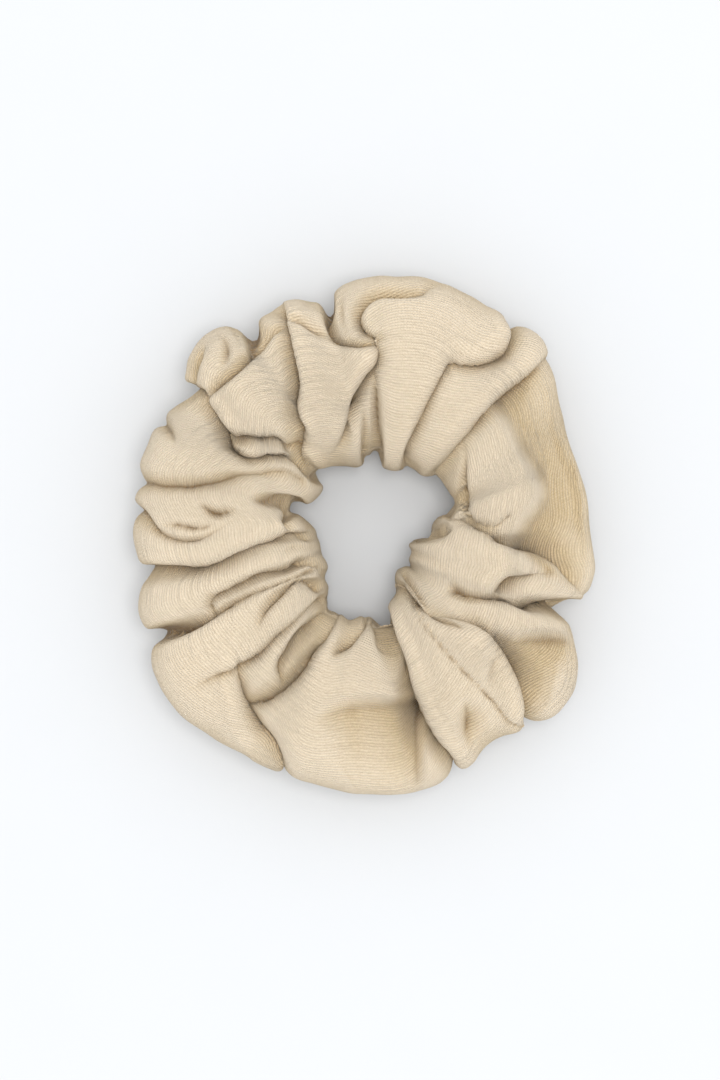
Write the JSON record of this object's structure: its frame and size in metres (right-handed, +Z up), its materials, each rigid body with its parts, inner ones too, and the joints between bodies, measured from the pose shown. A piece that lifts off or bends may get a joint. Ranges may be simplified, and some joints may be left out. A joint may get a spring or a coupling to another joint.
{
  "type": "hair scrunchie",
  "caption": "Soft ring of gathered jersey fabric over a hidden elastic loop, lying flat, with a round opening in the middle.",
  "frame": {"origin": "centre of the outline on the surface that the scrunchie lies on", "axes": "+Z up out of the opening, +Y along the longer side of the outline, +X the way the loop is pulled open"},
  "size_m": [0.1079, 0.122, 0.028],
  "materials": {
    "jersey": "matte",
    "elastic": "matte",
    "thread": "satin"
  },
  "bodies": {
    "held_end": {"cover_left": "jersey", "elastic_band": "elastic", "elastic_stitching": "thread", "lengthwise_seam": "thread"},
    "left_span": {"cover_back_left": "jersey", "cover_front_left": "jersey"},
    "middle_span": {"cover_back_middle": "jersey", "cover_front_middle": "jersey"},
    "right_span": {"cover_back_right": "jersey", "cover_front_right": "jersey", "closing_seam": "thread"},
    "pulled_end": {"cover_right": "jersey"}
  },
  "joints": [
    {"name": "stretch", "type": "slide", "parent": "held_end", "child": "pulled_end", "axis": [1, 0, 0], "range_m": [0, 0.06], "stiffness_N_per_m": 70, "deforming": ["elastic_band", "lengthwise_seam"]},
    {"name": "left_gathers_open", "type": "slide", "parent": "held_end", "child": "left_span", "axis": [1, 0, 0], "range_m": [0, 0.0108]},
    {"name": "middle_gathers_open", "type": "slide", "parent": "held_end", "child": "middle_span", "axis": [1, 0, 0], "range_m": [0, 0.03]},
    {"name": "right_gathers_open", "type": "slide", "parent": "held_end", "child": "right_span", "axis": [1, 0, 0], "range_m": [0, 0.0492]}
  ],
  "couplings": [
    {"joint": "left_gathers_open", "follows": "stretch", "ratio": 0.18},
    {"joint": "middle_gathers_open", "follows": "stretch", "ratio": 0.5},
    {"joint": "right_gathers_open", "follows": "stretch", "ratio": 0.82}
  ]
}
